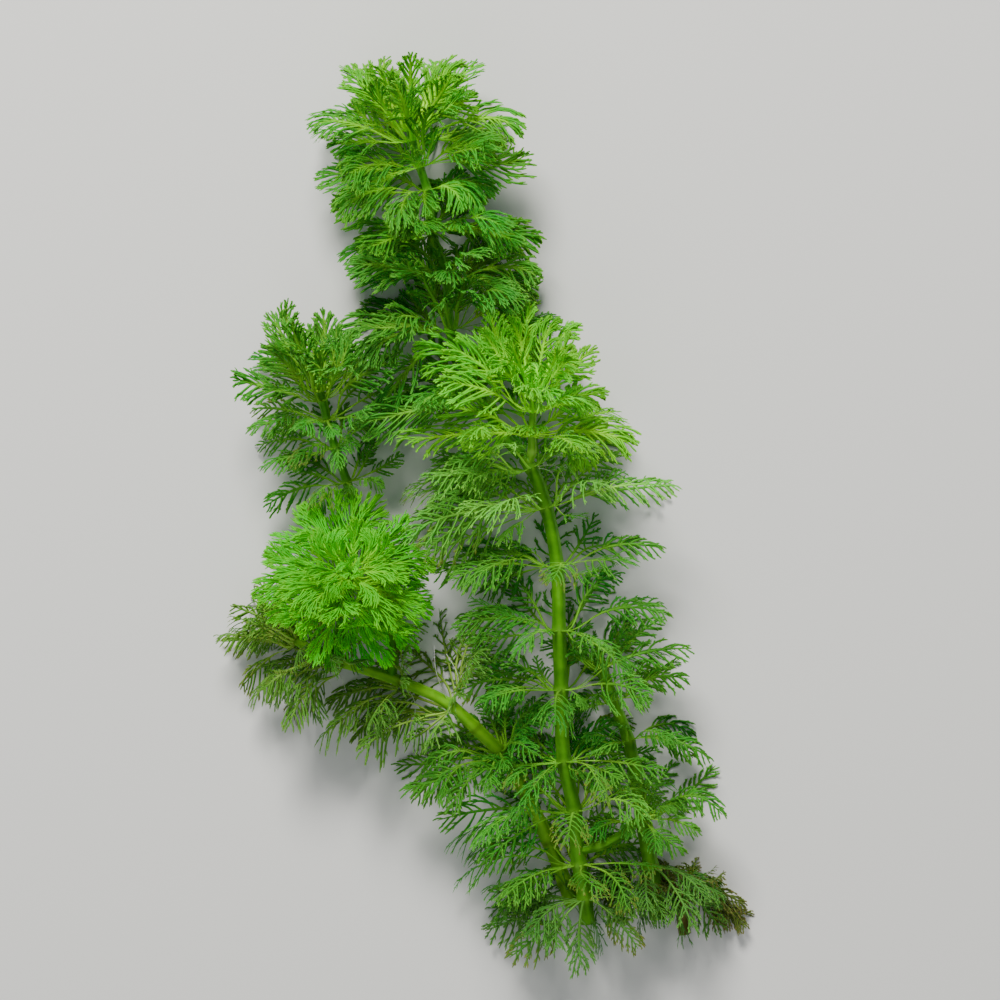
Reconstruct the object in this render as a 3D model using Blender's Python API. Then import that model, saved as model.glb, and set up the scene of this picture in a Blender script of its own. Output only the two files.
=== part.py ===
"""A bunch of limnophila, an underwater stem plant, cut at the ground and lying on a surface.

Metres, +Z up. The plant's top points along +Y, and its best side faces +Z. Each stem is a tapering tube.
Each whorl is a ring round a stem, at one of its nodes, with the ring's leaves grown out of it.
"""

import math
from collections import namedtuple

import bmesh
import bpy
from mathutils import Matrix, Vector
from mathutils.bvhtree import BVHTree

MM = 0.001

# Stems: radius at the base and at the tip, then the centres of the nodes from the base up, in millimetres
STEMS = {
    "main_stem": (
        1.9,
        1.6,
        [
            (25.2, -104.0, 7.5),
            (24.5, -97.8, 9.0),
            (23.0, -89.0, 11.0),
            (21.8, -75.5, 13.5),
            (19.3, -63.2, 15.0),
            (18.5, -45.2, 16.0),
            (18.0, -30.5, 16.5),
            (17.5, -14.2, 16.5),
            (14.8, 0.2, 16.5),
            (11.0, 10.2, 16.5),
            (8.8, 13.2, 16.2),
        ],
    ),
    "tall_stem": (
        1.6,
        0.8,
        [
            (8.6, 13.5, 16.2),
            (4.5, 18.0, 15.5),
            (-0.5, 26.0, 14.5),
            (-5.2, 34.8, 14.0),
            (-9.2, 44.8, 14.0),
            (-10.0, 56.8, 14.5),
            (-13.8, 69.2, 15.0),
            (-15.0, 79.8, 15.5),
            (-16.8, 85.5, 16.0),
            (-18.8, 92.2, 16.8),
            (-19.3, 94.8, 17.2),
            (-19.6, 96.8, 17.5),
        ],
    ),
    "side_branch": (
        1.2,
        0.7,
        [
            (10.2, 11.2, 16.5),
            (11.2, 14.6, 18.6),
            (11.2, 18.8, 20.5),
            (11.5, 24.8, 23.0),
            (11.5, 29.8, 25.5),
            (11.4, 32.0, 26.8),
        ],
    ),
    "left_stem": (
        1.9,
        1.1,
        [
            (21.5, -100.0, 2.6),
            (19.5, -94.0, 3.0),
            (15.5, -83.8, 4.5),
            (9.5, -71.5, 7.0),
            (3.0, -60.8, 9.5),
            (-2.8, -55.0, 11.0),
            (-9.2, -49.2, 12.0),
            (-21.8, -43.2, 13.0),
            (-36.0, -38.5, 12.5),
            (-42.8, -36.0, 11.5),
            (-47.8, -32.8, 10.0),
            (-49.5, -31.3, 9.3),
        ],
    ),
    "left_shoot": (
        1.4,
        0.8,
        [
            (-24.2, -42.4, 13.0),
            (-23.6, -38.0, 12.2),
            (-24.0, -31.0, 10.5),
            (-26.0, -22.8, 8.5),
            (-30.8, -7.8, 8.0),
            (-35.2, 6.8, 9.5),
            (-38.2, 15.5, 11.0),
            (-40.2, 22.5, 13.0),
            (-41.4, 27.6, 14.8),
            (-41.9, 30.0, 15.8),
            (-42.2, 31.8, 16.6),
        ],
    ),
    "crown_shoot": (
        1.5,
        0.8,
        [
            (-38.4, -37.6, 12.5),
            (-37.4, -33.5, 13.2),
            (-36.0, -26.0, 15.0),
            (-34.8, -19.5, 19.5),
            (-34.0, -16.3, 25.0),
            (-33.8, -15.2, 29.0),
            (-33.7, -14.9, 30.8),
        ],
    ),
    "right_stem": (
        2.1,
        1.1,
        [
            (42.8, -103.0, 5.0),
            (41.2, -90.2, 7.0),
            (39.0, -78.2, 8.5),
            (37.8, -69.5, 9.0),
            (35.5, -58.2, 9.0),
            (31.8, -48.2, 8.5),
            (29.0, -39.8, 8.5),
            (28.3, -37.5, 8.5),
        ],
    ),
    "low_shoot": (
        1.3,
        0.9,
        [
            (22.7, -85.5, 11.6),
            (28.2, -84.4, 12.4),
            (35.8, -79.8, 14.5),
            (39.5, -75.8, 15.8),
            (41.0, -74.0, 16.4),
        ],
    ),
    "old_stub": (
        1.6,
        1.1,
        [
            (49.8, -107.0, 2.4),
            (49.2, -101.5, 3.4),
            (50.2, -97.0, 4.6),
            (50.8, -95.0, 5.2),
        ],
    ),
}
# A shoot and the stem that it grows out of, which trims its foot
GROWS_FROM = {
    "side_branch": "main_stem",
    "left_shoot": "left_stem",
    "crown_shoot": "left_stem",
    "low_shoot": "main_stem",
}

# Whorls: the stem and its node, how many leaves, the angle of the first one, then for the right and the left
# side the leaf length in millimetres, and for right, left and front the lift above square to the stem.
# Curl is how far a leaf bends towards the stem's tip on its way out; most arch the other way. Angles in degrees.
Whorl = namedtuple("Whorl", "name stem node leaves first reach lift curl kind")
WHORLS = [
    Whorl("main_whorl_1", "main_stem", 1, 8, 10, (19, 26), (-12, -2, -21), -30, "shade_leaf"),
    Whorl("main_whorl_2", "main_stem", 2, 7, 30, (22, 30), (19, 22, 18), -50, "leaf"),
    Whorl("main_whorl_3", "main_stem", 3, 8, 5, (25, 34), (30, 25, 18), -50, "leaf"),
    Whorl("main_whorl_4", "main_stem", 4, 8, 25, (27, 25), (10, 24, 1), -45, "leaf"),
    Whorl("main_whorl_5", "main_stem", 5, 8, 4, (34, 25), (38, 22, 6), -45, "leaf"),
    Whorl("main_whorl_6", "main_stem", 6, 8, 22, (29, 27), (33, 28, 8), -45, "leaf"),
    Whorl("main_whorl_7", "main_stem", 7, 8, 2, (26, 30), (25, 22, 12), -45, "leaf"),
    Whorl("main_whorl_8", "main_stem", 8, 8, 20, (35, 38), (10, 24, 23), -40, "leaf"),
    Whorl("main_whorl_9", "main_stem", 9, 8, 8, (17, 33), (5, 32, 35), -35, "leaf"),
    Whorl("side_whorl_1", "side_branch", 2, 7, 15, (25, 31), (14, 12, 32), -30, "young_leaf"),
    Whorl("side_whorl_2", "side_branch", 3, 7, 40, (17, 33), (22, 36, 45), -20, "young_leaf"),
    Whorl("side_crown", "side_branch", 4, 7, 10, (19, 22), (43, 60, 61), 0, "young_leaf"),
    Whorl("tall_whorl_1", "tall_stem", 2, 7, 12, (24, 31), (35, 38, 30), -35, "young_leaf"),
    Whorl("tall_whorl_2", "tall_stem", 4, 8, 0, (26, 27), (12, 27, 35), -40, "young_leaf"),
    Whorl("tall_whorl_3", "tall_stem", 5, 8, 22, (23, 25), (8, 42, 35), -40, "young_leaf"),
    Whorl("tall_whorl_4", "tall_stem", 6, 8, 2, (26, 22), (0, 15, 22), -40, "young_leaf"),
    Whorl("tall_whorl_5", "tall_stem", 7, 8, 20, (16, 24), (12, 24, 3), -50, "young_leaf"),
    Whorl("tall_whorl_6", "tall_stem", 8, 8, 4, (27, 24), (4, 32, 29), -40, "young_leaf"),
    Whorl("tall_crown_1", "tall_stem", 9, 9, 10, (26, 25), (-1, 34, 45), -15, "young_leaf"),
    Whorl("tall_crown_2", "tall_stem", 10, 8, 30, (24, 22), (38, 60, 66), -5, "young_leaf"),
    Whorl("left_whorl_1", "left_stem", 4, 8, 25, (18, 26), (25, 37, 10), -35, "leaf"),
    Whorl("left_whorl_2", "left_stem", 6, 7, 5, (26, 27), (27, 54, 15), -30, "leaf"),
    Whorl("left_whorl_3", "left_stem", 7, 6, 0, (14, 25), (20, 54, 20), -40, "leaf"),
    Whorl("left_whorl_4", "left_stem", 8, 6, 30, (12, 23), (20, 50, 20), -45, "leaf"),
    Whorl("left_whorl_5", "left_stem", 9, 6, 0, (15, 20), (38, 50, 28), -40, "shade_leaf"),
    Whorl("left_tip_whorl", "left_stem", 10, 8, 20, (18, 20), (98, 80, 84), -50, "shade_leaf"),
    Whorl("shoot_whorl_1", "left_shoot", 5, 6, 0, (14, 20), (24, 18, 13), -35, "leaf"),
    Whorl("shoot_whorl_2", "left_shoot", 6, 6, 30, (15, 21), (26, 28, 13), -35, "leaf"),
    Whorl("shoot_whorl_3", "left_shoot", 7, 7, 5, (22, 20), (25, 28, 29), -30, "leaf"),
    Whorl("shoot_crown_1", "left_shoot", 8, 7, 20, (22, 22), (29, 40, 50), -20, "young_leaf"),
    Whorl("shoot_crown_2", "left_shoot", 9, 6, 0, (18, 24), (58, 77, 66), -5, "young_leaf"),
    Whorl("bright_whorl_1", "crown_shoot", 2, 8, 15, (19, 17), (5, 10, -5), -30, "leaf"),
    Whorl("bright_whorl_2", "crown_shoot", 3, 9, 0, (20, 22), (8, 8, 35), -30, "bright_leaf"),
    Whorl("bright_whorl_3", "crown_shoot", 4, 9, 20, (19, 20), (18, 18, 36), -25, "bright_leaf"),
    Whorl("bright_crown", "crown_shoot", 5, 7, 5, (12, 12), (42, 42, 50), -10, "bright_leaf"),
    Whorl("right_whorl_1", "right_stem", 1, 6, 5, (24, 16), (-44, -5, -25), -30, "shade_leaf"),
    Whorl("right_whorl_2", "right_stem", 2, 6, 30, (22, 14), (35, 20, 10), -50, "leaf"),
    Whorl("right_whorl_3", "right_stem", 4, 6, 0, (20, 16), (-12, 23, 18), -45, "leaf"),
    Whorl("right_whorl_4", "right_stem", 5, 6, 25, (20, 14), (15, 28, 23), -40, "leaf"),
    Whorl("right_crown", "right_stem", 6, 6, 0, (18, 16), (47, 43, 40), -30, "leaf"),
    Whorl("low_whorl", "low_shoot", 3, 6, 10, (14, 12), (48, 48, 38), -45, "leaf"),
    Whorl("old_whorl", "old_stub", 2, 6, 20, (16, 13), (-5, 40, 25), -40, "old_leaf"),
]

# Leaf outlines: places along the leaf, and the width there as a share of the full width.
# Young leaves are blunt fans, widest near the end, and older ones are pointed feathers.
FAN = ((0.36, 0.12), (0.82, 1.0), (1.0, 0.6))
FEATHER = ((0.32, 0.14), (0.64, 1.0), (1.0, 0.0))
FAN_KINDS = ("young_leaf", "bright_leaf")
FAN_HALF_WIDTH = 0.2
FEATHER_HALF_WIDTH = 0.15
# Half the blade's thickness, and at its end; then the ring that the leaves grow from
BLADE_HALF_THICK = 0.45
EDGE_HALF_THICK = 0.004
RING_HEIGHT = 1.4
RING_WALL = 0.8
GAP = 0.35
PATH_STEPS = 25
# How a leaf meets the surface: its centre's height at rest, how softly it bends, its steepest way down, how far
# it leans towards the stem's tip as it bends, below which height it has settled, between which heights it turns
# level, and the edge height that is pressed down
REST_HEIGHT = 0.45
BEND_LENGTH = 5.0
STEEPEST = -0.99
LEAN = 0.4
SETTLED = 1.6
LEVEL = (9.0, 3.0)
PRESSED = 0.4
# How far a side leaf's blade turns its face up, from 0 to 1
FACING = 0.7
# Steps in degrees by which a leaf may turn or lift to stay clear of its neighbours, and how far it may shrink
TURNS = (0, 7, -7, 14, -14, 21, -21, 28, -28)
LIFTS = (0, 8, -8, 16, -16, 24, -24, 32)
SHRINKS = (1.0, 0.85, 0.7, 0.55)
CLEARANCE = 0.2

STEM_STEP = 6.5
UP = Vector((0.0, 0.0, 1.0))

# Colour and roughness
COLOURS = {
    "stem": ((0.16, 0.30, 0.02), 0.45),
    "leaf": ((0.09, 0.30, 0.03), 0.5),
    "young_leaf": ((0.16, 0.46, 0.03), 0.5),
    "bright_leaf": ((0.18, 0.56, 0.02), 0.5),
    "shade_leaf": ((0.05, 0.18, 0.03), 0.55),
    "old_leaf": ((0.16, 0.19, 0.05), 0.6),
}


# Stems

def catmull(before, start, end, after, t):
    """A point on the smooth curve through start and end, at t from 0 to 1."""
    return 0.5 * (
        2 * start
        + (end - before) * t
        + (2 * before - 5 * start + 4 * end - after) * t * t
        + (3 * start - before - 3 * end + after) * t**3
    )


def stem_point(stem, place):
    """The centre of a stem at a place counted in nodes from its base, in millimetres."""
    nodes = [Vector(p) for p in STEMS[stem][2]]
    last = len(nodes) - 1
    i = min(int(place), last - 1)
    before = nodes[i - 1] if i else 2 * nodes[0] - nodes[1]
    after = nodes[i + 2] if i + 2 <= last else 2 * nodes[last] - nodes[last - 1]
    return catmull(before, nodes[i], nodes[i + 1], after, place - i)


def stem_axis(stem, place):
    last = len(STEMS[stem][2]) - 1
    low, high = max(place - 0.1, 0), min(place + 0.1, last)
    return (stem_point(stem, high) - stem_point(stem, low)).normalized()


def stem_radius(stem, place):
    base, tip, nodes = STEMS[stem]
    return base + (tip - base) * place / (len(nodes) - 1)


def stem_places(stem):
    """Places along a stem, about STEM_STEP apart, with every node among them."""
    nodes = STEMS[stem][2]
    places = [0.0]
    for i in range(len(nodes) - 1):
        length = (Vector(nodes[i + 1]) - Vector(nodes[i])).length
        parts = max(1, round(length / STEM_STEP))
        places += [i + (k + 1) / parts for k in range(parts)]
    return places


def stem_curve(stem, collection, extra=0.0):
    """A tapering tube along the stem; extra makes it that much thicker, in millimetres."""
    curve = bpy.data.curves.new(stem, "CURVE")
    curve.dimensions = "3D"
    curve.bevel_depth = MM
    curve.bevel_resolution = 2
    curve.use_fill_caps = True
    places = stem_places(stem)
    spline = curve.splines.new("POLY")
    spline.points.add(len(places) - 1)
    for point, place in zip(spline.points, places):
        point.co = (*(stem_point(stem, place) * MM), 1.0)
        point.radius = stem_radius(stem, place) + extra
    obj = bpy.data.objects.new(stem, curve)
    collection.objects.link(obj)
    return obj


def as_mesh(curve_obj, collection):
    """The curve object made a closed mesh object of the same name."""
    graph = bpy.context.evaluated_depsgraph_get()
    mesh = bpy.data.meshes.new_from_object(curve_obj.evaluated_get(graph))
    bm = bmesh.new()
    bm.from_mesh(mesh)
    bmesh.ops.remove_doubles(bm, verts=bm.verts, dist=1e-6)
    bmesh.ops.recalc_face_normals(bm, faces=bm.faces)
    bm.to_mesh(mesh)
    bm.free()
    name, matrix = curve_obj.name, curve_obj.matrix_world.copy()
    bpy.data.objects.remove(curve_obj)
    obj = bpy.data.objects.new(name, mesh)
    obj.matrix_world = matrix
    collection.objects.link(obj)
    return obj


def make_stem(stem, parts, cutters):
    obj = as_mesh(stem_curve(stem, parts), parts)
    parent = GROWS_FROM.get(stem)
    if parent:
        cutter = as_mesh(stem_curve(parent, cutters, extra=GAP), cutters)
        cutter.name = stem + "_foot_cutter"
        cutter.hide_render = True
        cutter.display_type = "WIRE"
        cut = obj.modifiers.new("foot", "BOOLEAN")
        cut.operation = "DIFFERENCE"
        cut.object = cutter
    obj.data.shade_smooth()
    obj.data.set_sharp_from_angle(angle=math.radians(50))
    return obj


# Leaves

def sides_of(axis):
    """The right-hand and the front direction square to an axis, as seen from above the surface."""
    right = axis.cross(UP).normalized()
    return right, right.cross(axis).normalized()


def ring_radius(whorl):
    """The ring's inner and outer corner radius; its flats stay clear of the stem."""
    inner = (stem_radius(whorl.stem, whorl.node) + GAP) / math.cos(math.pi / whorl.leaves)
    return inner, inner + RING_WALL


def leaf_spread(whorl, angle):
    """(length, lift) of a leaf at an angle round the whorl, both eased from side to side."""
    right = math.cos(angle)
    front = max(0.0, math.sin(angle)) ** 2
    reach = (whorl.reach[0] + whorl.reach[1]) / 2 + (whorl.reach[0] - whorl.reach[1]) / 2 * right
    level = (whorl.lift[0] + whorl.lift[1]) / 2 + (whorl.lift[0] - whorl.lift[1]) / 2 * right
    return reach, level + (whorl.lift[2] - level) * front


def leaf_path(base, axis, radial, reach, lift, curl):
    """Points and directions along a leaf's midrib. Near the surface it bends and runs along it."""
    point, points, headings = base.copy(), [], []
    step = reach / PATH_STEPS
    for i in range(PATH_STEPS + 1):
        angle = math.radians(lift + curl * i / PATH_STEPS)
        heading = math.cos(angle) * radial + math.sin(angle) * axis
        steepest = -max(0.0, point.z - REST_HEIGHT) / BEND_LENGTH
        if heading.z < steepest:
            flat = Vector((heading.x + LEAN * axis.x, heading.y + LEAN * axis.y, 0.0)).normalized()
            slope = max(steepest, STEEPEST)
            heading = flat * math.sqrt(1 - slope * slope) + UP * slope
        points.append(point.copy())
        headings.append(heading)
        point += heading * step
    return points, headings


def leaf_sections(whorl, angle, reach, lift):
    """Cross-sections (centre, across, up) of a leaf from its ring outwards, half sizes included."""
    axis = stem_axis(whorl.stem, whorl.node)
    right, front = sides_of(axis)
    radial = math.cos(angle) * right + math.sin(angle) * front
    base = stem_point(whorl.stem, whorl.node) + radial * ring_radius(whorl)[1]
    points, headings = leaf_path(base, axis, radial, reach, lift, whorl.curl)
    fan = whorl.kind in FAN_KINDS
    half_width = reach * (FAN_HALF_WIDTH if fan else FEATHER_HALF_WIDTH)
    sections = []
    for share, width in FAN if fan else FEATHER:
        i = round(share * PATH_STEPS)
        centre, heading = points[i], headings[i]
        if centre.z < SETTLED:
            centre.z = REST_HEIGHT if share < 1 else 0.0
            heading = Vector((heading.x, heading.y, 0.0)).normalized()
        level = (LEVEL[0] - centre.z) / (LEVEL[0] - LEVEL[1])
        facing = max(FACING * abs(math.cos(angle)), min(level, 1.0))
        up = (axis - heading * axis.dot(heading)).normalized() * (1 - facing)
        up += (UP - heading * UP.dot(heading)) * facing
        up = (up - heading * up.dot(heading)).normalized()
        across = up.cross(heading)
        thick = BLADE_HALF_THICK if share < 1 else EDGE_HALF_THICK
        sections.append((centre, across * half_width * width, up * thick))
    return sections


def leaf_corners(section, extra=0.0):
    centre, across, up = section
    wide = across + across.normalized() * extra if across.length > 0 else across
    tall = up + up.normalized() * extra
    return [centre + wide * i + tall * j for i, j in ((1, 1), (-1, 1), (-1, -1), (1, -1))]


def leaf_tree(whorl, angle, sections):
    """A slightly swollen copy of a leaf, for testing whether it meets another."""
    axis = stem_axis(whorl.stem, whorl.node)
    right, front = sides_of(axis)
    radial = math.cos(angle) * right + math.sin(angle) * front
    base = stem_point(whorl.stem, whorl.node) + radial * (ring_radius(whorl)[1] + 2 * CLEARANCE)
    narrow = sections[0][1].length
    first = (base, axis.cross(radial) * narrow, axis * BLADE_HALF_THICK)
    corners, faces = [], []
    for section in [first, *sections]:
        corners += leaf_corners(section, CLEARANCE)
    for ring in range(len(sections)):
        for side in range(4):
            a, b = 4 * ring + side, 4 * ring + (side + 1) % 4
            faces.append((a, b, b + 4, a + 4))
    return BVHTree.FromPolygons([tuple(c) for c in corners], faces), corners


def meets(first, second):
    """Whether two swollen shapes meet: boxes first, then faces."""
    tree_a, low_a, high_a = first
    tree_b, low_b, high_b = second
    if any(low_a[k] > high_b[k] or low_b[k] > high_a[k] for k in range(3)):
        return False
    return bool(tree_a.overlap(tree_b))


def shape_of(tree, corners):
    low = [min(c[k] for c in corners) for k in range(3)]
    high = [max(c[k] for c in corners) for k in range(3)]
    return tree, low, high


def tube_shape(places, centre_of, axis_of, radius_of, sides=10):
    """A swollen open tube, for testing leaves against stems and rings."""
    corners, faces = [], []
    for place in places:
        axis = axis_of(place)
        right, front = sides_of(axis)
        for k in range(sides):
            turn = 2 * math.pi * k / sides
            out = math.cos(turn) * right + math.sin(turn) * front
            corners.append(centre_of(place) + out * radius_of(place))
    for ring in range(len(places) - 1):
        for k in range(sides):
            a, b = ring * sides + k, ring * sides + (k + 1) % sides
            faces.append((a, b, b + sides, a + sides))
    return shape_of(BVHTree.FromPolygons([tuple(c) for c in corners], faces), corners)


def stem_shape(stem):
    return tube_shape(
        stem_places(stem),
        lambda place: stem_point(stem, place),
        lambda place: stem_axis(stem, place),
        lambda place: stem_radius(stem, place) + CLEARANCE,
    )


def ring_shape(whorl):
    centre, axis = stem_point(whorl.stem, whorl.node), stem_axis(whorl.stem, whorl.node)
    half = RING_HEIGHT / 2 + CLEARANCE
    return tube_shape(
        (-half, half),
        lambda height: centre + axis * height,
        lambda height: axis,
        lambda height: ring_radius(whorl)[1] + CLEARANCE,
    )


def settle_leaves():
    """Every whorl's leaves as (ring angle, sections), each turned or lifted just enough to be clear of the
    stems, the rings and the leaves before it. One that finds no room is left out."""
    rings = {w.name: ring_shape(w) for w in WHORLS}
    taken = [stem_shape(stem) for stem in STEMS]
    tries = sorted(
        ((turn, lift) for turn in TURNS for lift in LIFTS), key=lambda t: abs(t[0]) + abs(t[1])
    )
    settled = {}
    for whorl in WHORLS:
        others = [shape for name, shape in rings.items() if name != whorl.name]
        settled[whorl.name] = []
        for k in range(whorl.leaves):
            ring_angle = math.radians(whorl.first + 360 * k / whorl.leaves)
            reach, lift = leaf_spread(whorl, ring_angle)
            for shrink, (turn, more) in ((s, t) for s in SHRINKS for t in tries):
                angle = ring_angle + math.radians(turn)
                sections = leaf_sections(whorl, angle, reach * shrink, lift + more)
                shape = shape_of(*leaf_tree(whorl, ring_angle, sections))
                if not any(meets(shape, other) for other in taken + others):
                    taken.append(shape)
                    settled[whorl.name].append((ring_angle, sections))
                    break
    return settled


def ring_mesh(bm, whorl):
    """A ring with one flat outer face for each leaf, made by spinning its square section."""
    inner, outer = ring_radius(whorl)
    half = RING_HEIGHT / 2
    corners = ((inner, -half), (outer, -half), (outer, half), (inner, half))
    verts = [bm.verts.new((r, 0, z)) for r, z in corners]
    edges = [bm.edges.new((verts[k], verts[(k + 1) % 4])) for k in range(4)]
    bmesh.ops.spin(
        bm, geom=verts + edges, cent=(0, 0, 0), axis=(0, 0, 1), angle=2 * math.pi, steps=whorl.leaves,
        use_merge=True,
    )
    bmesh.ops.remove_doubles(bm, verts=bm.verts, dist=1e-4)
    axis = stem_axis(whorl.stem, whorl.node)
    right, front = sides_of(axis)
    turn = math.radians(whorl.first) - math.pi / whorl.leaves
    first = math.cos(turn) * right + math.sin(turn) * front
    matrix = Matrix((first, axis.cross(first), axis)).transposed().to_4x4()
    matrix.translation = stem_point(whorl.stem, whorl.node)
    bmesh.ops.transform(bm, matrix=matrix, verts=bm.verts)


def grow_leaf(bm, whorl, ring_angle, sections):
    """Draws one outer face of the ring out into a leaf, section by section, to an edge or a point."""
    axis = stem_axis(whorl.stem, whorl.node)
    right, front = sides_of(axis)
    radial = math.cos(ring_angle) * right + math.sin(ring_angle) * front
    flat = ring_radius(whorl)[1] * math.cos(math.pi / whorl.leaves)
    centre = stem_point(whorl.stem, whorl.node) + radial * flat
    face = min(bm.faces, key=lambda f: (f.calc_center_median() - centre).length)
    across, up = axis.cross(radial), axis
    for next_centre, next_across, next_up in sections:
        face = bmesh.ops.extrude_discrete_faces(bm, faces=[face])["faces"][0]
        for vert in face.verts:
            offset = vert.co - centre
            side = 1 if offset.dot(across) > 0 else -1
            level = 1 if offset.dot(up) > 0 else -1
            vert.co = next_centre + next_across * side + next_up * level
        centre, across, up = next_centre, next_across, next_up
    bmesh.ops.remove_doubles(bm, verts=face.verts, dist=4 * EDGE_HALF_THICK)


def press_flat(bm):
    """What would reach the surface lies flat on it."""
    for vert in bm.verts:
        if vert.co.z < PRESSED:
            vert.co.z = 0.0


def make_whorl(whorl, leaves, collection):
    bm = bmesh.new()
    ring_mesh(bm, whorl)
    for ring_angle, sections in leaves:
        grow_leaf(bm, whorl, ring_angle, sections)
    press_flat(bm)
    bmesh.ops.triangulate(bm, faces=bm.faces)
    bmesh.ops.recalc_face_normals(bm, faces=bm.faces)
    bmesh.ops.scale(bm, vec=(MM, MM, MM), verts=bm.verts)
    mesh = bpy.data.meshes.new(whorl.name)
    bm.to_mesh(mesh)
    bm.free()
    obj = bpy.data.objects.new(whorl.name, mesh)
    collection.objects.link(obj)
    return obj


# Materials and the whole plant

def material(name):
    colour, roughness = COLOURS[name]
    made = bpy.data.materials.new(name)
    made.use_nodes = True
    shader = made.node_tree.nodes["Principled BSDF"]
    shader.inputs["Base Color"].default_value = (*colour, 1.0)
    shader.inputs["Roughness"].default_value = roughness
    shader.inputs["Metallic"].default_value = 0.0
    return made


def new_collection(name):
    made = bpy.data.collections.new(name)
    bpy.context.scene.collection.children.link(made)
    return made


def main():
    for obj in list(bpy.data.objects):
        bpy.data.objects.remove(obj)
    plant = new_collection("limnophila")
    cutters = new_collection("cutters")
    finishes = {name: material(name) for name in COLOURS}
    for stem in STEMS:
        make_stem(stem, plant, cutters).data.materials.append(finishes["stem"])
    settled = settle_leaves()
    for whorl in WHORLS:
        obj = make_whorl(whorl, settled[whorl.name], plant)
        obj.data.materials.append(finishes[whorl.kind])


main()
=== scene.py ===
"""A bunch of limnophila, cut and laid on a pale surface. Fine stems and finely divided leaves take the place
of the plain solids: each leaf follows its solid leaf's middle line and fills its outline.

Metres, +Z up, the plant's top along +Y. The camera looks straight down.
"""

import math
from collections import namedtuple

import bpy
import numpy as np
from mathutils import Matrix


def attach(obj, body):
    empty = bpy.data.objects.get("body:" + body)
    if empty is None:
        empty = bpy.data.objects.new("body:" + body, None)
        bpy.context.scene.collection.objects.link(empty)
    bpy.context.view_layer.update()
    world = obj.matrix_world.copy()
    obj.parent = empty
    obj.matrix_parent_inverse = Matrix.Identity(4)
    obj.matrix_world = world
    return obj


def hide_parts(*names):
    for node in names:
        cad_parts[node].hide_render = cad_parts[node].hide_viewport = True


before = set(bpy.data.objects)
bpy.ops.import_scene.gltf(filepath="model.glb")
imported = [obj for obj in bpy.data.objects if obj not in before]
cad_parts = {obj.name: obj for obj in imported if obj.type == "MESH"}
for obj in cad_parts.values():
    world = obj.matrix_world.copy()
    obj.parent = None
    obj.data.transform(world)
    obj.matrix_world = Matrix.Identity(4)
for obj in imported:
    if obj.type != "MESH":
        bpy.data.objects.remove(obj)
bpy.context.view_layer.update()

MM = 0.001

# Stems: radius at the base and at the tip, then the centres of the nodes from the base up, in millimetres
STEMS = {
    "main_stem": (1.9, 1.6, [
        (25.2, -104.0, 7.5), (24.5, -97.8, 9.0), (23.0, -89.0, 11.0), (21.8, -75.5, 13.5),
        (19.3, -63.2, 15.0), (18.5, -45.2, 16.0), (18.0, -30.5, 16.5), (17.5, -14.2, 16.5),
        (14.8, 0.2, 16.5), (11.0, 10.2, 16.5), (8.8, 13.2, 16.2),
    ]),
    "tall_stem": (1.6, 0.8, [
        (8.6, 13.5, 16.2), (4.5, 18.0, 15.5), (-0.5, 26.0, 14.5), (-5.2, 34.8, 14.0),
        (-9.2, 44.8, 14.0), (-10.0, 56.8, 14.5), (-13.8, 69.2, 15.0), (-15.0, 79.8, 15.5),
        (-16.8, 85.5, 16.0), (-18.8, 92.2, 16.8), (-19.3, 94.8, 17.2), (-19.6, 96.8, 17.5),
    ]),
    "side_branch": (1.2, 0.7, [
        (10.2, 11.2, 16.5), (11.2, 14.6, 18.6), (11.2, 18.8, 20.5), (11.5, 24.8, 23.0),
        (11.5, 29.8, 25.5), (11.4, 32.0, 26.8),
    ]),
    "left_stem": (1.9, 1.1, [
        (21.5, -100.0, 2.6), (19.5, -94.0, 3.0), (15.5, -83.8, 4.5), (9.5, -71.5, 7.0),
        (3.0, -60.8, 9.5), (-2.8, -55.0, 11.0), (-9.2, -49.2, 12.0), (-21.8, -43.2, 13.0),
        (-36.0, -38.5, 12.5), (-42.8, -36.0, 11.5), (-47.8, -32.8, 10.0), (-49.5, -31.3, 9.3),
    ]),
    "left_shoot": (1.4, 0.8, [
        (-24.2, -42.4, 13.0), (-23.6, -38.0, 12.2), (-24.0, -31.0, 10.5), (-26.0, -22.8, 8.5),
        (-30.8, -7.8, 8.0), (-35.2, 6.8, 9.5), (-38.2, 15.5, 11.0), (-40.2, 22.5, 13.0),
        (-41.4, 27.6, 14.8), (-41.9, 30.0, 15.8), (-42.2, 31.8, 16.6),
    ]),
    "crown_shoot": (1.5, 0.8, [
        (-38.4, -37.6, 12.5), (-37.4, -33.5, 13.2), (-36.0, -26.0, 15.0), (-34.8, -19.5, 19.5),
        (-34.0, -16.3, 25.0), (-33.8, -15.2, 29.0), (-33.7, -14.9, 30.8),
    ]),
    "right_stem": (2.1, 1.1, [
        (42.8, -103.0, 5.0), (41.2, -90.2, 7.0), (39.0, -78.2, 8.5), (37.8, -69.5, 9.0),
        (35.5, -58.2, 9.0), (31.8, -48.2, 8.5), (29.0, -39.8, 8.5), (28.3, -37.5, 8.5),
    ]),
    "low_shoot": (1.3, 0.9, [
        (22.7, -85.5, 11.6), (28.2, -84.4, 12.4), (35.8, -79.8, 14.5), (39.5, -75.8, 15.8),
        (41.0, -74.0, 16.4),
    ]),
    "old_stub": (1.6, 1.1, [
        (49.8, -107.0, 2.4), (49.2, -101.5, 3.4), (50.2, -97.0, 4.6), (50.8, -95.0, 5.2),
    ]),
}
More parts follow.
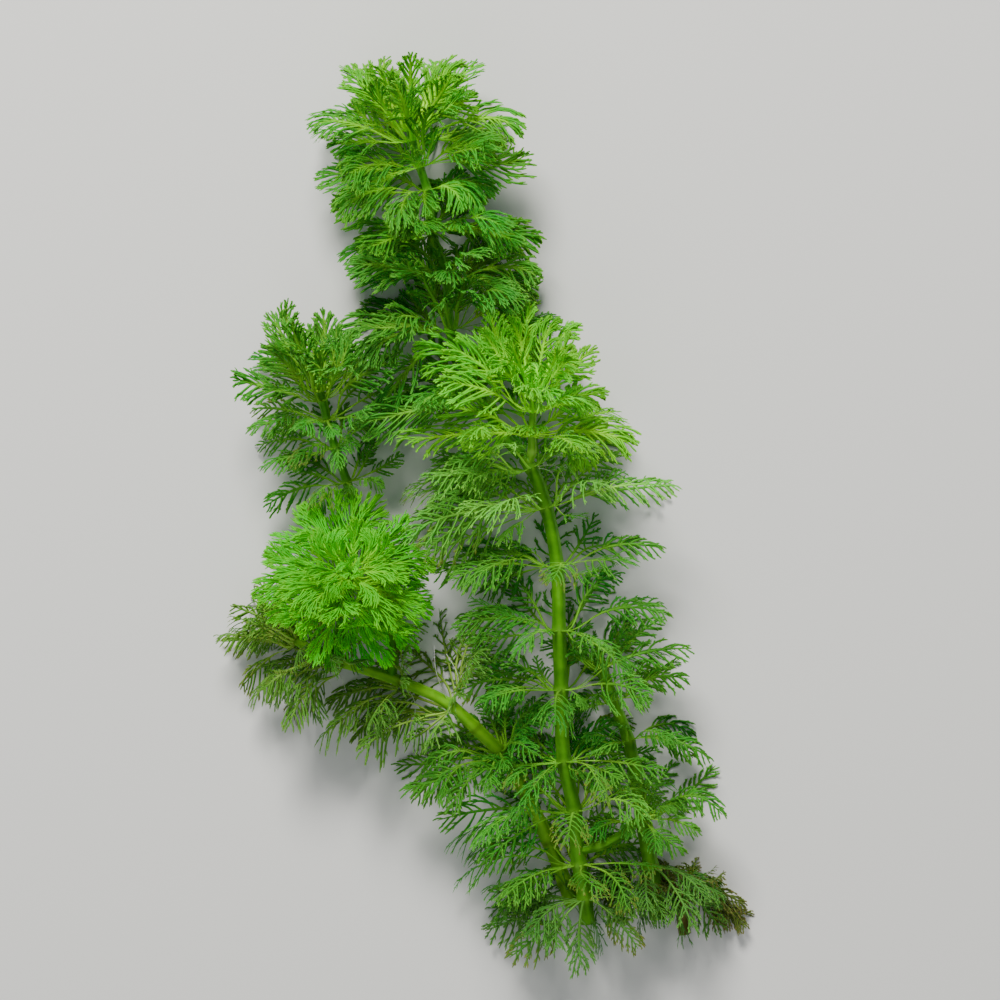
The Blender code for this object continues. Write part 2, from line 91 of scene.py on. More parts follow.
STEM_FINISH = {
    "main_stem": "olive_stem",
    "tall_stem": "green_stem",
    "side_branch": "young_stem",
    "left_stem": "lime_stem",
    "left_shoot": "green_stem",
    "crown_shoot": "green_stem",
    "right_stem": "olive_stem",
    "low_shoot": "olive_stem",
    "old_stub": "brown_stem",
}

# Whorls: the stem and its node, the leaf form, the finish, how much lighter (above 0) or darker it is, how
# many more leaves stand between two solid ones than its form has, and the length in millimetres of the small
# leaves in its middle, where 0 is none. The lightness is partly the leaves' own tone and partly painted light
# and shade: whorls that lie in the shade of others are painted lighter
Whorl = namedtuple("Whorl", "name stem node form finish tone fuller heart")
WHORLS = [
    Whorl("main_whorl_1", "main_stem", 1, "old_feather", "shade_leaf", 0.35, 1.0, 0),
    Whorl("main_whorl_2", "main_stem", 2, "old_feather", "leaf", 0.0, 0.8, 0),
    Whorl("main_whorl_3", "main_stem", 3, "feather", "leaf", 0.0, 0.8, 0),
    Whorl("main_whorl_4", "main_stem", 4, "feather", "leaf", 0.0, 0.3, 0),
    Whorl("main_whorl_5", "main_stem", 5, "feather", "leaf", 0.0, 0.2, 0),
    Whorl("main_whorl_6", "main_stem", 6, "feather", "leaf", -0.05, 0.2, 0),
    Whorl("main_whorl_7", "main_stem", 7, "feather", "leaf", 0.15, 0.6, 0),
    # main_whorl_8 and main_whorl_9 are painted lighter: painted light on leaves that lie in the shade of the
    # side crown above
    Whorl("main_whorl_8", "main_stem", 8, "feather", "pale_lit_leaf", 0.3, 1.2, 0),
    Whorl("main_whorl_9", "main_stem", 9, "feather", "pale_lit_leaf", 0.4, 1.2, 0),
    Whorl("side_whorl_1", "side_branch", 2, "fan", "fresh_leaf", 0.3, 0.4, 0),
    Whorl("side_whorl_2", "side_branch", 3, "fan", "fresh_leaf", 0.4, 0.3, 0),
    Whorl("side_crown", "side_branch", 4, "crown_fan", "fresh_leaf", 0.42, 0.3, 8),
    Whorl("tall_whorl_1", "tall_stem", 2, "fan", "leaf", 0.0, 0, 0),
    Whorl("tall_whorl_2", "tall_stem", 4, "fan", "leaf", -0.1, 0.7, 0),
    Whorl("tall_whorl_3", "tall_stem", 5, "fan", "leaf", -0.1, 0.7, 0),
    Whorl("tall_whorl_4", "tall_stem", 6, "fan", "young_leaf", -0.2, 0.6, 0),
    Whorl("tall_whorl_5", "tall_stem", 7, "fan", "young_leaf", 0.0, 0, 0),
    Whorl("tall_whorl_6", "tall_stem", 8, "fan", "young_leaf", 0.0, 0, 0),
    Whorl("tall_crown_1", "tall_stem", 9, "crown_fan", "young_leaf", 0.0, 0, 0),
    Whorl("tall_crown_2", "tall_stem", 10, "crown_fan", "fresh_leaf", -0.05, 0.3, 7),
    Whorl("left_whorl_1", "left_stem", 4, "feather", "leaf", 0.0, 0.8, 0),
    Whorl("left_whorl_2", "left_stem", 6, "comb", "olive_leaf", 0.1, 0.8, 0),
    Whorl("left_whorl_3", "left_stem", 7, "comb", "olive_leaf", 0.05, 0.8, 0),
    Whorl("left_whorl_4", "left_stem", 8, "comb", "olive_leaf", 0.05, 0.8, 0),
    Whorl("left_whorl_5", "left_stem", 9, "comb", "olive_leaf", 0.1, 0.8, 0),
    Whorl("left_tip_whorl", "left_stem", 10, "comb", "olive_leaf", 0.4, 0.4, 6),
    Whorl("shoot_whorl_1", "left_shoot", 5, "feather", "leaf", -0.1, 0, 0),
    Whorl("shoot_whorl_2", "left_shoot", 6, "feather", "leaf", -0.1, 0, 0),
    Whorl("shoot_whorl_3", "left_shoot", 7, "feather", "leaf", 0.0, 0, 0),
    Whorl("shoot_crown_1", "left_shoot", 8, "fan", "leaf", 0.0, 0, 0),
    Whorl("shoot_crown_2", "left_shoot", 9, "crown_fan", "leaf", 0.1, 0, 7),
    # bright_whorl_1 is painted lighter: painted light on leaves that lie in the shade of the crown above
    Whorl("bright_whorl_1", "crown_shoot", 2, "thread", "bright_leaf", 0.9, 0.8, 0),
    Whorl("bright_whorl_2", "crown_shoot", 3, "thread", "bright_leaf", 0.3, 0.6, 0),
    Whorl("bright_whorl_3", "crown_shoot", 4, "thread", "bright_leaf", 0.05, 0.2, 0),
    Whorl("bright_crown", "crown_shoot", 5, "thread", "bright_leaf", 0.1, 0, 5),
    Whorl("right_whorl_1", "right_stem", 1, "old_feather", "shade_leaf", 0.3, 0.8, 0),
    Whorl("right_whorl_2", "right_stem", 2, "feather", "leaf", 0.2, 0, 0),
    Whorl("right_whorl_3", "right_stem", 4, "feather", "leaf", -0.1, 0, 0),
    Whorl("right_whorl_4", "right_stem", 5, "feather", "leaf", -0.2, 0, 0),
    Whorl("right_crown", "right_stem", 6, "feather", "leaf", -0.1, 0, 7),
    Whorl("low_whorl", "low_shoot", 3, "feather", "leaf", 0.2, 0.3, 6),
    Whorl("old_whorl", "old_stub", 2, "old_feather", "old_leaf", 0.2, 0.8, 10),
]

# Leaf forms. The outline gives the width as a share of the half width at places along the leaf, and spread
# how much wider than the solid it is. Bare is the share of the leaf before its first segment, and lobed the
# share of a segment before its first lobe. Angles in degrees: of the first and the last segments from the
# middle line, how far each bends forward over its length (sweep), and of its lobes. Cup is the angle at
# which the segments rise above the leaf's plane. Droop is how far they sink below it at their tips, and
# hang how far their tips hang towards the ground that the plant stood in, both as a share of their length.
# Ruffle is how unevenly they rise. A lobe's length is a share of its segment's, up to longest_lobe. Widths
# are in millimetres, and the shapes are the shares of them along the way. The wing is the widest place of
# the middle rib, and rib_green its tint at its tip, from 0, as light as the petiole, to 1. Between is how
# many leaves stand between two solid leaves.
Form = namedtuple(
    "Form",
    "outline spread bare pairs first last sweep lobes lobed lobe_angle lobe_share longest_lobe "
    "cup droop hang ruffle width segment_shape lobe_width lobe_shape petiole wing rib_green between",
)
FAN_OUTLINE = (
    (0.0, 0.0), (0.3, 0.15), (0.48, 0.6), (0.7, 0.95), (0.84, 1.0), (0.94, 0.8), (1.0, 0.4), (1.03, 0.0),
)
FEATHER_OUTLINE = (
    (0.0, 0.0), (0.32, 0.3), (0.48, 0.85), (0.66, 1.0), (0.84, 0.85), (0.95, 0.5), (1.02, 0.0),
)
FORMS = {
    "fan": Form(
        FAN_OUTLINE, spread=1.2, bare=0.3, pairs=10, first=34, last=8, sweep=14, lobes=3, lobed=0.5,
        lobe_angle=20, lobe_share=0.28, longest_lobe=2.1, cup=8, droop=0.1, hang=0.16, ruffle=0.08,
        width=0.62, segment_shape=(0.8, 1.0, 0.95, 0.4), lobe_width=0.46, lobe_shape=(1.0, 1.0, 0.85, 0.4),
        petiole=0.7, wing=1.1, rib_green=0.4, between=0.7,
    ),
    "feather": Form(
        FEATHER_OUTLINE, spread=1.25, bare=0.36, pairs=8, first=42, last=18, sweep=30, lobes=3, lobed=0.4,
        lobe_angle=24, lobe_share=0.24, longest_lobe=1.7, cup=4, droop=0.18, hang=0.2, ruffle=0.12,
        width=0.54, segment_shape=(0.95, 1.0, 0.85, 0.25), lobe_width=0.42, lobe_shape=(0.9, 1.0, 0.8, 0.3),
        petiole=0.72, wing=0.72, rib_green=0.55, between=1.0,
    ),
    "old_feather": Form(
        FEATHER_OUTLINE, spread=1.3, bare=0.32, pairs=8, first=50, last=24, sweep=24, lobes=3, lobed=0.35,
        lobe_angle=30, lobe_share=0.3, longest_lobe=2.0, cup=0, droop=0.15, hang=0.3, ruffle=0.14,
        width=0.46, segment_shape=(0.95, 1.0, 0.85, 0.3), lobe_width=0.42, lobe_shape=(0.9, 1.0, 0.8, 0.3),
        petiole=0.72, wing=0.68, rib_green=0.55, between=1.0,
    ),
    "comb": Form(
        FEATHER_OUTLINE, spread=1.25, bare=0.4, pairs=7, first=46, last=20, sweep=28, lobes=2, lobed=0.45,
        lobe_angle=26, lobe_share=0.26, longest_lobe=1.7, cup=-4, droop=0.15, hang=0.38, ruffle=0.14,
        width=0.52, segment_shape=(0.95, 1.0, 0.85, 0.3), lobe_width=0.42, lobe_shape=(0.9, 1.0, 0.8, 0.3),
        petiole=0.75, wing=0.7, rib_green=0.5, between=0.9,
    ),
    "thread": Form(
        FAN_OUTLINE, spread=1.25, bare=0.2, pairs=9, first=22, last=5, sweep=5, lobes=3, lobed=0.4,
        lobe_angle=16, lobe_share=0.34, longest_lobe=2.6, cup=3, droop=0.05, hang=0.03, ruffle=0.04,
        width=0.46, segment_shape=(0.9, 1.0, 0.9, 0.4), lobe_width=0.4, lobe_shape=(0.95, 1.0, 0.85, 0.4),
        petiole=0.55, wing=0.55, rib_green=0.45, between=0.8,
    ),
}
FORMS["crown_fan"] = FORMS["fan"]._replace(bare=0.38, petiole=0.95, rib_green=0.3, wing=1.0, width=0.56)
# More leaves of some whorls: where their tips are from the node, in millimetres
MORE_LEAVES = {
    "main_whorl_1": ((-12.0, -13.0, -5.0), (-3.0, -15.0, -4.0), (5.0, -14.0, -4.0), (10.0, -11.0, -5.0)),
    "main_whorl_2": ((-25.0, -8.0, -4.0), (-22.0, -14.0, -6.0)),
    "main_whorl_3": ((-33.0, -9.0, -6.0), (-27.0, -13.0, -9.0)),
    "main_whorl_4": ((-6.0, -5.0, 9.0), (6.0, -4.0, 9.0)),
    "main_whorl_5": ((-16.0, 8.0, 6.0), (30.0, 11.0, -5.0), (6.0, -4.0, 9.0)),
    "main_whorl_6": ((-23.0, 7.0, -3.0), (-17.0, -7.0, 5.0), (7.0, -4.0, 8.0)),
    "main_whorl_7": ((12.0, -1.5, 8.0), (-14.0, 7.0, 6.0)),
    "main_whorl_8": ((-12.0, -9.0, 6.0), (11.0, -2.5, 8.0), (-31.0, 3.0, -6.0)),
    "main_whorl_9": ((-31.0, -8.0, -3.0), (-27.0, -1.0, -5.0)),
    "tall_whorl_1": ((-21.0, 12.0, -5.0), (-19.0, 7.0, -2.0)),
    "tall_whorl_3": ((3.0, 9.0, 8.0),),
    "tall_whorl_4": ((-4.0, -3.5, 7.0), (1.0, -5.0, 7.0), (5.0, -3.0, 7.0)),
    "tall_whorl_6": ((4.0, 9.0, 6.0),),
    "left_tip_whorl": ((-14.0, -12.5, -6.0), (-18.0, 3.0, -3.0)),
    "left_whorl_3": ((-1.0, 12.0, 2.0),),
    "bright_whorl_2": (
        (-18.5, 14.0, -4.0), (-11.0, 21.0, -4.0), (-3.0, 24.5, -4.0), (6.0, 22.5, -4.0),
        (15.0, 15.0, -5.0), (5.0, -20.0, -5.0), (-6.0, -19.0, -5.0),
    ),
    "right_whorl_1": ((-3.0, -16.0, -3.0), (8.0, -13.0, -4.0)),
    "old_whorl": ((16.0, -3.5, -3.0), (10.0, -9.0, -3.0)),
}
# The way that segments hang
GROUNDWARDS = np.array((0.0, -1.0, 0.0))
# How much each leaf differs: its roll and twist in degrees, how far its middle bends out of line, how much
# lighter or darker it is, and what share of the leaves of a form has brown tips
ROLL = 12
TWIST = 18
ARCH = 1.6 * MM
SHADES = 0.2
BROWN_TIPS = {"feather": 0.07, "old_feather": 0.2, "comb": 0.22}
# In-between leaves: their length beside their neighbours', the widest gap that gets one, how much higher or
# lower they stand, both in degrees, and how far they move to one side, as a share of the gap
BETWEEN = (0.72, 0.98)
BETWEEN_GAP = 100
BETWEEN_TILT = 14
BETWEEN_SHIFT = 0.06
# Small leaves in the middle of a crown: how many, how unevenly they stand round it, in radians, how steeply,
# in degrees, how long beside the length given, where their neck, widest place and end are, as shares of their
# length outwards and away from their straight way, how wide, and how much lighter they are painted: painted
# light on the middle of the crown, which lies in the shade of the leaves round it
HEART_LEAVES = 9
HEART_TURN = 0.2
HEART_STEEP = (45, 80)
HEART_LENGTHS = (0.7, 1.1)
HEART_PLACES = ((0.3, 0), (0.75, 0.05), (1, 0.2))
HEART_HALF_WIDTH = 0.17
HEART_PAINTED_LIGHT = 0.45
# No leaf stands between two others this near the front or the right of the main stem, in degrees
OPEN_FRONT = 30
OPEN_RIGHT = 40
# How wide the leaves at the right of the main stem are beside the others
RIGHT_WIDTH = 0.7
# The leaves of MORE_LEAVES: where their neck, widest place and end are, as shares of their length outwards
# and towards the stem's tip, how wide they are, and how much lighter
MORE_PLACES = ((0.33, 0.05), (0.66, 0.06), (1, 0))
MORE_HALF_WIDTH = 0.2
MORE_TONE = 0.1
# A leaf starts inside its stem, at this share of the stem's radius, and leaves it straight for this long
ROOT_DEPTH = 0.7
COLLAR = 1.2 * MM
# How much of a leaf's bend out of line it has at its neck, its widest place and its end
ARCH_SHARES = (0.5, 0.4, -0.6)
# The share of a leaf by which it lies as its solid does, and the points of its middle line
TURNED_BY = 0.5
STATIONS = 25
# Share of a segment's and of the middle rib's width that it is thick, the corners of their sections, and the
# height of the lowest points
FLATNESS = 0.45
RIB_FLATNESS = 0.3
SEGMENT_CORNERS = 3
RIB_CORNERS = 4
LOWEST = 0.3 * MM
# How far from a stem's middle its ring of solid leaves ends: a share of the radius, and more than that
RING_SHARE = 1.3
RING_MORE = 1.8 * MM
# A solid leaf has this many corners at its neck and at its widest place. They are welded to a micrometre
NECK_CORNERS = 4
WELD_DIGITS = 6
# Middle rib: its points, its share of the leaf's length, the length from which a leaf has its full width, and
# its widths as shares of the petiole's and the wing's, at its foot, its neck, past the wing and at its tip
RIB_POINTS = 14
RIB_REACH = 0.95
FULL_WIDTH_FROM = 14 * MM
RIB_FOOT = 1.45
RIB_NECK = 0.9
RIB_PAST_WING = 0.85
RIB_TIP = 0.3
# Where along the rib its foot ends, how far past its neck the wing is widest, and where it narrows again
FOOT_END = 0.06
WING_AFTER = 0.2
WING_END = 0.8
# The rib's tint at its foot, its neck, a little after it and at its tip, beside rib_green
RIB_TINTS = (0, 0.4, 0.75, 1)
TINT_AFTER = 0.25
# Segments: where the first one is, in steps, and the last one, along the leaf, how unevenly they stand, in
# steps, how much their angle and their bend differ, in degrees, their lengths beside the outline's, and the
# shortest one
FIRST_SEGMENT = 0.3
LAST_SEGMENT = 0.93
SEGMENT_SHIFT = 0.18
ANGLE_NOISE = 7
BEND_NOISE = 14
SEGMENT_LENGTHS = (0.85, 1.03)
SHORTEST_SEGMENT = 1.2 * MM
# The lengths that are tried for a segment, as shares of the leaf's
TRIED_LENGTHS = np.linspace(0.02, 0.8, 80)
# A segment of this length has its form's width, and a shorter or a longer one a share of it
NORMAL_SEGMENT = 4 * MM
BREADTHS = (0.8, 1.1)
# Tint of a segment's foot, beside the rib's, how much more it is for the last segment, and of a segment's tip
FOOT_TINT = 0.5
TINT_ALONG = 0.2
TIP_TINT = 0.9
# Lobes: the last place for one on its segment, how unevenly they stand, the range of their places, their
# length at the segment's foot and how much less it is at its tip, how it differs, and how far they bend, rise
# unevenly and hang beside their angle, the segment's ruffle and its hang
LAST_LOBE = 0.88
LOBE_SHIFT = 0.05
LOBE_PLACES = (0.1, 0.92)
LOBE_AT_FOOT = 1.2
LOBE_SHRINK = 0.7
LOBE_LENGTHS = (0.7, 1.2)
LOBE_BEND = 1.1
LOBE_RUFFLE = 1.3
LOBE_HANG = 2
# The first whorl's seed
SEED = 100

# Stems: faces round them, the step between their rings and the length of a node's swelling in millimetres,
# how much wider a node is, the ribs and their height as a share of the radius, and the width and the
# roundness of the tip
STEM_SIDES = 20
STEM_STEP = 0.6
NODE_LENGTH = 1.3
NODE_SWELL = 0.14
STEM_RIBS = 5
STEM_RIB_HEIGHT = 0.025
TIP_WIDTH = 0.55
TIP_DOME = 0.4

# Root threads: the stem and its node, how far the middle bows out, and how far the tip is from the node, in
# millimetres. Then their points, their width and how much narrower they are at the tip
THREADS = (
    ("left_stem", 6, (-1.5, 1.0, 3.0), (-4.0, 15.0, 1.0)),
    ("left_stem", 6, (2.5, 0.5, 4.0), (-1.0, 13.0, 3.0)),
    ("left_stem", 7, (1.5, 1.0, 1.0), (3.5, -10.0, -4.0)),
    ("left_stem", 9, (1.0, 2.0, 2.0), (8.0, -13.0, -6.0)),
    ("left_stem", 9, (-1.0, 1.0, 1.0), (4.0, -9.0, -5.0)),
    ("main_stem", 9, (2.5, 2.0, 2.0), (8.5, -3.5, -1.0)),
    ("main_stem", 9, (1.5, 1.5, 2.0), (6.5, -4.5, -2.0)),
    ("left_shoot", 7, (1.0, -1.5, 1.0), (-14.0, 8.0, -3.0)),
)
THREAD_POINTS = 14
THREAD_CORNERS = 4
THREAD_WIDTH = 0.2
THREAD_TAPER = 0.5

# The least length that anything is divided by
TINY = 1e-12


# Curves in space

def smooth_curve(knots, count):
    """Evenly spaced points on a smooth curve through the knots."""
    gaps = np.linalg.norm(np.diff(knots, axis=0), axis=1)
    place = np.concatenate([[0.0], np.cumsum(gaps)])
    slopes = np.diff(knots, axis=0) / gaps[:, None]
    before, after = gaps[:-1, None], gaps[1:, None]
    inner = (slopes[:-1] * after + slopes[1:] * before) / (before + after)
    start = 1.5 * slopes[:1] - 0.5 * inner[:1]
    end = 1.5 * slopes[-1:] - 0.5 * inner[-1:]
    tangents = np.vstack([start, inner, end])
    at = np.linspace(0, place[-1], count)
    i = np.clip(np.searchsorted(place, at, side="right") - 1, 0, len(gaps) - 1)
    t = ((at - place[i]) / gaps[i])[:, None]
    span = gaps[i][:, None]
    return (
        knots[i] * (2 * t**3 - 3 * t**2 + 1)
        + tangents[i] * span * (t**3 - 2 * t**2 + t)
        + knots[i + 1] * (3 * t**2 - 2 * t**3)
        + tangents[i + 1] * span * (t**3 - t**2)
    )


def unit(rows):
    return rows / np.maximum(np.linalg.norm(rows, axis=-1, keepdims=True), TINY)


def stem_nodes(stem):
    return np.array(STEMS[stem][2]) * MM


def stem_radius(stem, place):
    base, tip, nodes = STEMS[stem]
    return (base + (tip - base) * place / (len(nodes) - 1)) * MM


def stem_axis(stem, node):
    nodes = stem_nodes(stem)
    low, high = max(node - 1, 0), min(node + 1, len(nodes) - 1)
    return unit(nodes[high] - nodes[low])


# Meshes

def mesh_object(name, points, quads, values, finish):
    """A smooth mesh object of four-cornered faces, with named values at its points."""
    mesh = bpy.data.meshes.new(name)
    mesh.vertices.add(len(points))
    mesh.vertices.foreach_set("co", points.astype(np.float32).ravel())
    mesh.loops.add(quads.size)
    mesh.loops.foreach_set("vertex_index", quads.astype(np.int32).ravel())
    mesh.polygons.add(len(quads))
    mesh.polygons.foreach_set("loop_start", np.arange(0, quads.size, 4, dtype=np.int32))
    mesh.update(calc_edges=True)
    mesh.validate()
    mesh.polygons.foreach_set("use_smooth", np.ones(len(mesh.polygons), dtype=bool))
    for key, column in values.items():
        layer = mesh.attributes.new(key, "FLOAT", "POINT")
        layer.data.foreach_set("value", column.astype(np.float32).ravel())
    mesh.materials.append(finish)
    obj = bpy.data.objects.new(name, mesh)
    bpy.context.scene.collection.objects.link(obj)
    return obj


def tube_quads(rings, sides, first=0):
    """Faces between the rings of a tube."""
    ring = np.arange(rings - 1)[:, None] * sides
    side = np.arange(sides)[None, :]
    following = (side + 1) % sides
    quads = np.stack([ring + side, ring + following, ring + following + sides, ring + side + sides], axis=-1)
    return quads.reshape(-1, 4) + first


def ribbons(paths, up, widths, flatness, corners):
    """Many tapering strips at once, each with three corners across (flat below) or four."""
    count, stations = paths.shape[:2]
    heading = unit(np.gradient(paths, axis=1))
    side = unit(np.cross(up, heading))
    top = np.cross(heading, side)
    half = widths[..., None] / 2
    flat = half * flatness
    rows = [paths + side * half, paths + top * flat, paths - side * half, paths - top * flat][:corners]
    points = np.stack(rows, axis=2).reshape(-1, 3)
    one = tube_quads(stations, corners)
    quads = (np.arange(count)[:, None, None] * stations * corners + one[None]).reshape(-1, 4)
    return points, quads


def joined(parts):
    """Points, faces and value columns of several ribbons() results as one."""
    points, quads, values, first = [], [], [], 0
    for some_points, some_quads, some_values in parts:
        points.append(some_points)
        quads.append(some_quads + first)
        values.append(some_values)
        first += len(some_points)
    columns = {key: np.concatenate([v[key] for v in values]) for key in values[0]}
    return np.vstack(points), np.vstack(quads), columns


# Leaves

Leaf = namedtuple("Leaf", "midrib across up length half_width")


def solid_leaves(whorl, centre, ring_reach):
    """The corner points of each solid leaf of a whorl: its neck, its widest place and its end."""
    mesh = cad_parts[whorl.name].data
    raw = np.empty(len(mesh.vertices) * 3)
    mesh.vertices.foreach_get("co", raw)
    points, welded = np.unique(raw.reshape(-1, 3).round(WELD_DIGITS), axis=0, return_inverse=True)
    welded = welded.reshape(-1)
    far = np.linalg.norm(points - centre, axis=1)
    group = {i: i for i in range(len(points)) if far[i] > ring_reach}

    def root(i):
        while group[i] != i:
            i = group[i]
        return i

    for edge in mesh.edges:
        a, b = (int(welded[v]) for v in edge.vertices)
        if a in group and b in group:
            group[root(a)] = root(b)
    leaves = {}
    for i in group:
        leaves.setdefault(root(i), []).append(i)
    found = []
    for members in leaves.values():
        ordered = points[sorted(members, key=lambda i: far[i])]
        found.append(np.split(ordered, [NECK_CORNERS, 2 * NECK_CORNERS]))
    return found


def long_way(corners):
    """The direction in which four corners lie farthest apart, and half that distance."""
    spread = corners - corners.mean(axis=0)
    way = np.linalg.svd(spread)[2][0]
    return way, np.abs(spread @ way).max()


Skeleton = namedtuple("Skeleton", "neck wide end across half_width tone", defaults=(0.0,))


def skeleton_of(corners):
    """The middle points of a solid leaf and its widest line, from its corners."""
    neck, wide, end = corners
    across, half_width = long_way(wide)
    return Skeleton(neck.mean(axis=0), wide.mean(axis=0), end.mean(axis=0), across, half_width)


def angle_round(skeleton, centre, right, front):
    out = skeleton.neck - centre
    return math.atan2(out @ front, out @ right)


def in_between(first, second, share, centre, axis, scale, tilt):
    """A leaf part of the way from one neighbour to the next, scaled towards the stem and tilted."""
    def mixed(a, b):
        return a * (1 - share) + b * share

    neck = mixed(first.neck, second.neck) - centre
    radial = unit(neck - axis * (neck @ axis))

    def tilted(way):
        out, along = way @ radial, way @ axis
        turn_out = out * math.cos(tilt) - along * math.sin(tilt) - out
        turn_along = out * math.sin(tilt) + along * math.cos(tilt) - along
        return way + radial * turn_out + axis * turn_along

    across = second.across if first.across @ second.across > 0 else -second.across
    places = [centre + tilted(mixed(first[k], second[k]) - centre) * scale for k in range(3)]
    half_width = mixed(first.half_width, second.half_width) * scale
    return Skeleton(*places, unit(tilted(mixed(first.across, across))), half_width)


def heart_leaves(centre, axis, right, front, length, dice):
    """The small steep leaves in the middle of a crown."""
    found = []
    for k in range(HEART_LEAVES):
        turn = 2 * math.pi * k / HEART_LEAVES + dice.normal(0, HEART_TURN)
        steep = math.radians(dice.uniform(*HEART_STEEP))
        out = right * math.cos(turn) + front * math.sin(turn)
        way = out * math.cos(steep) + axis * math.sin(steep)
        size = length * dice.uniform(*HEART_LENGTHS)
        places = [centre + way * size * share + out * size * bend for share, bend in HEART_PLACES]
        # Heart leaves are painted lighter: painted light where the crown's middle lies in shade
        found.append(Skeleton(*places, np.cross(axis, out), size * HEART_HALF_WIDTH, HEART_PAINTED_LIGHT))
    return found


def more_leaf(centre, axis, tip):
    """A leaf from its node to a tip, given from the node."""
    length = np.linalg.norm(tip)
    arch = axis * length
    places = [centre + tip * share + arch * rise for share, rise in MORE_PLACES]
    return Skeleton(*places, unit(np.cross(axis, tip)), length * MORE_HALF_WIDTH, MORE_TONE)


def whorl_skeletons(whorl, centre, axis, reach, between, dice):
    """The solid leaves of a whorl, those between them, its more leaves, and the small ones in its middle."""
    solid = [skeleton_of(corners) for corners in solid_leaves(whorl, centre, reach)]
    right = unit(np.cross(axis, [0.0, 0.0, 1.0]))
    front = np.cross(right, axis)
    solid.sort(key=lambda leaf: angle_round(leaf, centre, right, front))
    found = list(solid)
    if whorl.stem == "main_stem":
        for k, leaf in enumerate(solid):
            if abs(math.degrees(angle_round(leaf, centre, right, front))) < OPEN_RIGHT:
                found[k] = leaf._replace(half_width=leaf.half_width * RIGHT_WIDTH)
    for first, second in zip(solid, solid[1:] + solid[:1]):
        start = angle_round(first, centre, right, front)
        gap = (angle_round(second, centre, right, front) - start) % (2 * math.pi)
        if gap < math.radians(BETWEEN_GAP):
            count = int(between + dice.random())
            for k in range(count):
                share = (k + 1) / (count + 1) + dice.normal(0, BETWEEN_SHIFT)
                tilt = math.radians(dice.normal(0, BETWEEN_TILT))
                scale = dice.uniform(*BETWEEN)
                turn = (math.degrees(start + gap * share) + 180) % 360 - 180
                if whorl.stem != "main_stem" or (abs(turn - 90) > OPEN_FRONT and abs(turn) > OPEN_RIGHT):
                    found.append(in_between(first, second, share, centre, axis, scale, tilt))
    found += [more_leaf(centre, axis, np.array(tip) * MM) for tip in MORE_LEAVES.get(whorl.name, ())]
    if whorl.heart:
        found += heart_leaves(centre, axis, right, front, whorl.heart * MM, dice)
    return found


def make_leaf(centre, axis, radius, skeleton, dice):
    """A leaf's middle line, and the directions across and above it, each a little different."""
    radial = skeleton.neck - centre
    radial = unit(radial - axis * (radial @ axis))
    root = centre + radial * radius * ROOT_DEPTH
    collar = centre + radial * (radius + COLLAR)
    side = np.cross(axis, radial)
    bend = side * dice.normal(0, ARCH) + axis * dice.normal(0, ARCH)
    knots = [root, collar] + [skeleton[k] + bend * ARCH_SHARES[k] for k in range(3)]
    midrib = smooth_curve(np.array(knots), STATIONS)
    midrib[:, 2] = np.maximum(midrib[:, 2], LOWEST)
    heading = unit(np.gradient(midrib, axis=0))
    at_blade = skeleton.across if side @ skeleton.across > 0 else -skeleton.across
    place = np.linspace(0, 1, STATIONS)
    share = np.clip(place / TURNED_BY, 0, 1)[:, None]
    across = side * (1 - share) + at_blade * share
    across = unit(across - heading * np.sum(across * heading, axis=1, keepdims=True))
    up = np.cross(heading, across)
    turn = np.radians(dice.normal(0, ROLL) + dice.normal(0, TWIST) * place)[:, None] * share
    across, up = across * np.cos(turn) + up * np.sin(turn), up * np.cos(turn) - across * np.sin(turn)
    length = np.linalg.norm(np.diff(midrib, axis=0), axis=1).sum()
    return Leaf(midrib, across, up, length, skeleton.half_width)


def place_on(leaf, along, side, rise, hang):
    """Points in space from places on a leaf: along its middle line, to its side, above it and hanging."""
    spot = np.clip(along / leaf.length, 0, 1) * (STATIONS - 1)
    low = np.minimum(spot.astype(int), STATIONS - 2)
    share = (spot - low)[..., None]
    centre = leaf.midrib[low] * (1 - share) + leaf.midrib[low + 1] * share
    across = leaf.across[low] * (1 - share) + leaf.across[low + 1] * share
    up = leaf.up[low] * (1 - share) + leaf.up[low + 1] * share
    beyond = np.maximum(along - leaf.length, 0)[..., None] * unit(leaf.midrib[-1] - leaf.midrib[-2])
    points = centre + beyond + across * side[..., None] + up * rise[..., None] + GROUNDWARDS * hang[..., None]
    points[..., 2] = np.maximum(points[..., 2], LOWEST)
    return points, up


def reach_to_outline(form, leaf, starts, angles):
    """How long a segment may be to end on the leaf's outline."""
    steps = TRIED_LENGTHS[None, :]
    along = starts[:, None] + steps * np.cos(angles)[:, None]
    out = steps * np.abs(np.sin(angles))[:, None] * leaf.length
    places, widths = np.array(form.outline).T
    limit = np.interp(along, places, widths) * leaf.half_width * form.spread
    count = np.maximum(np.cumprod(out < limit, axis=1).sum(axis=1), 1)
    return steps[0][count - 1] * leaf.length


def bent_paths(start, angle, length, bend, shares):
    """Paths in the leaf's plane that start at an angle and turn by bend on their way."""
    middle = (shares[1:] + shares[:-1]) / 2
    step = np.diff(shares)[None] * length[:, None]
    turn = angle[:, None] + bend[:, None] * (middle - 0.5)[None]
    zero = np.zeros((len(angle), 1))
    along = np.hstack([zero, np.cumsum(np.cos(turn) * step, axis=1)]) + start[0][:, None]
    side = np.hstack([zero, np.cumsum(np.sin(turn) * step, axis=1)]) + start[1][:, None]
    return along, side, turn


def at_share(rows, spot, shares):
    """Each row's value at its own share of the way."""
    low = np.clip(np.searchsorted(shares, spot, side="right") - 1, 0, len(shares) - 2)
    part = (spot - shares[low]) / (shares[low + 1] - shares[low])
    row = np.arange(len(rows))
    return rows[row, low] * (1 - part) + rows[row, low + 1] * part


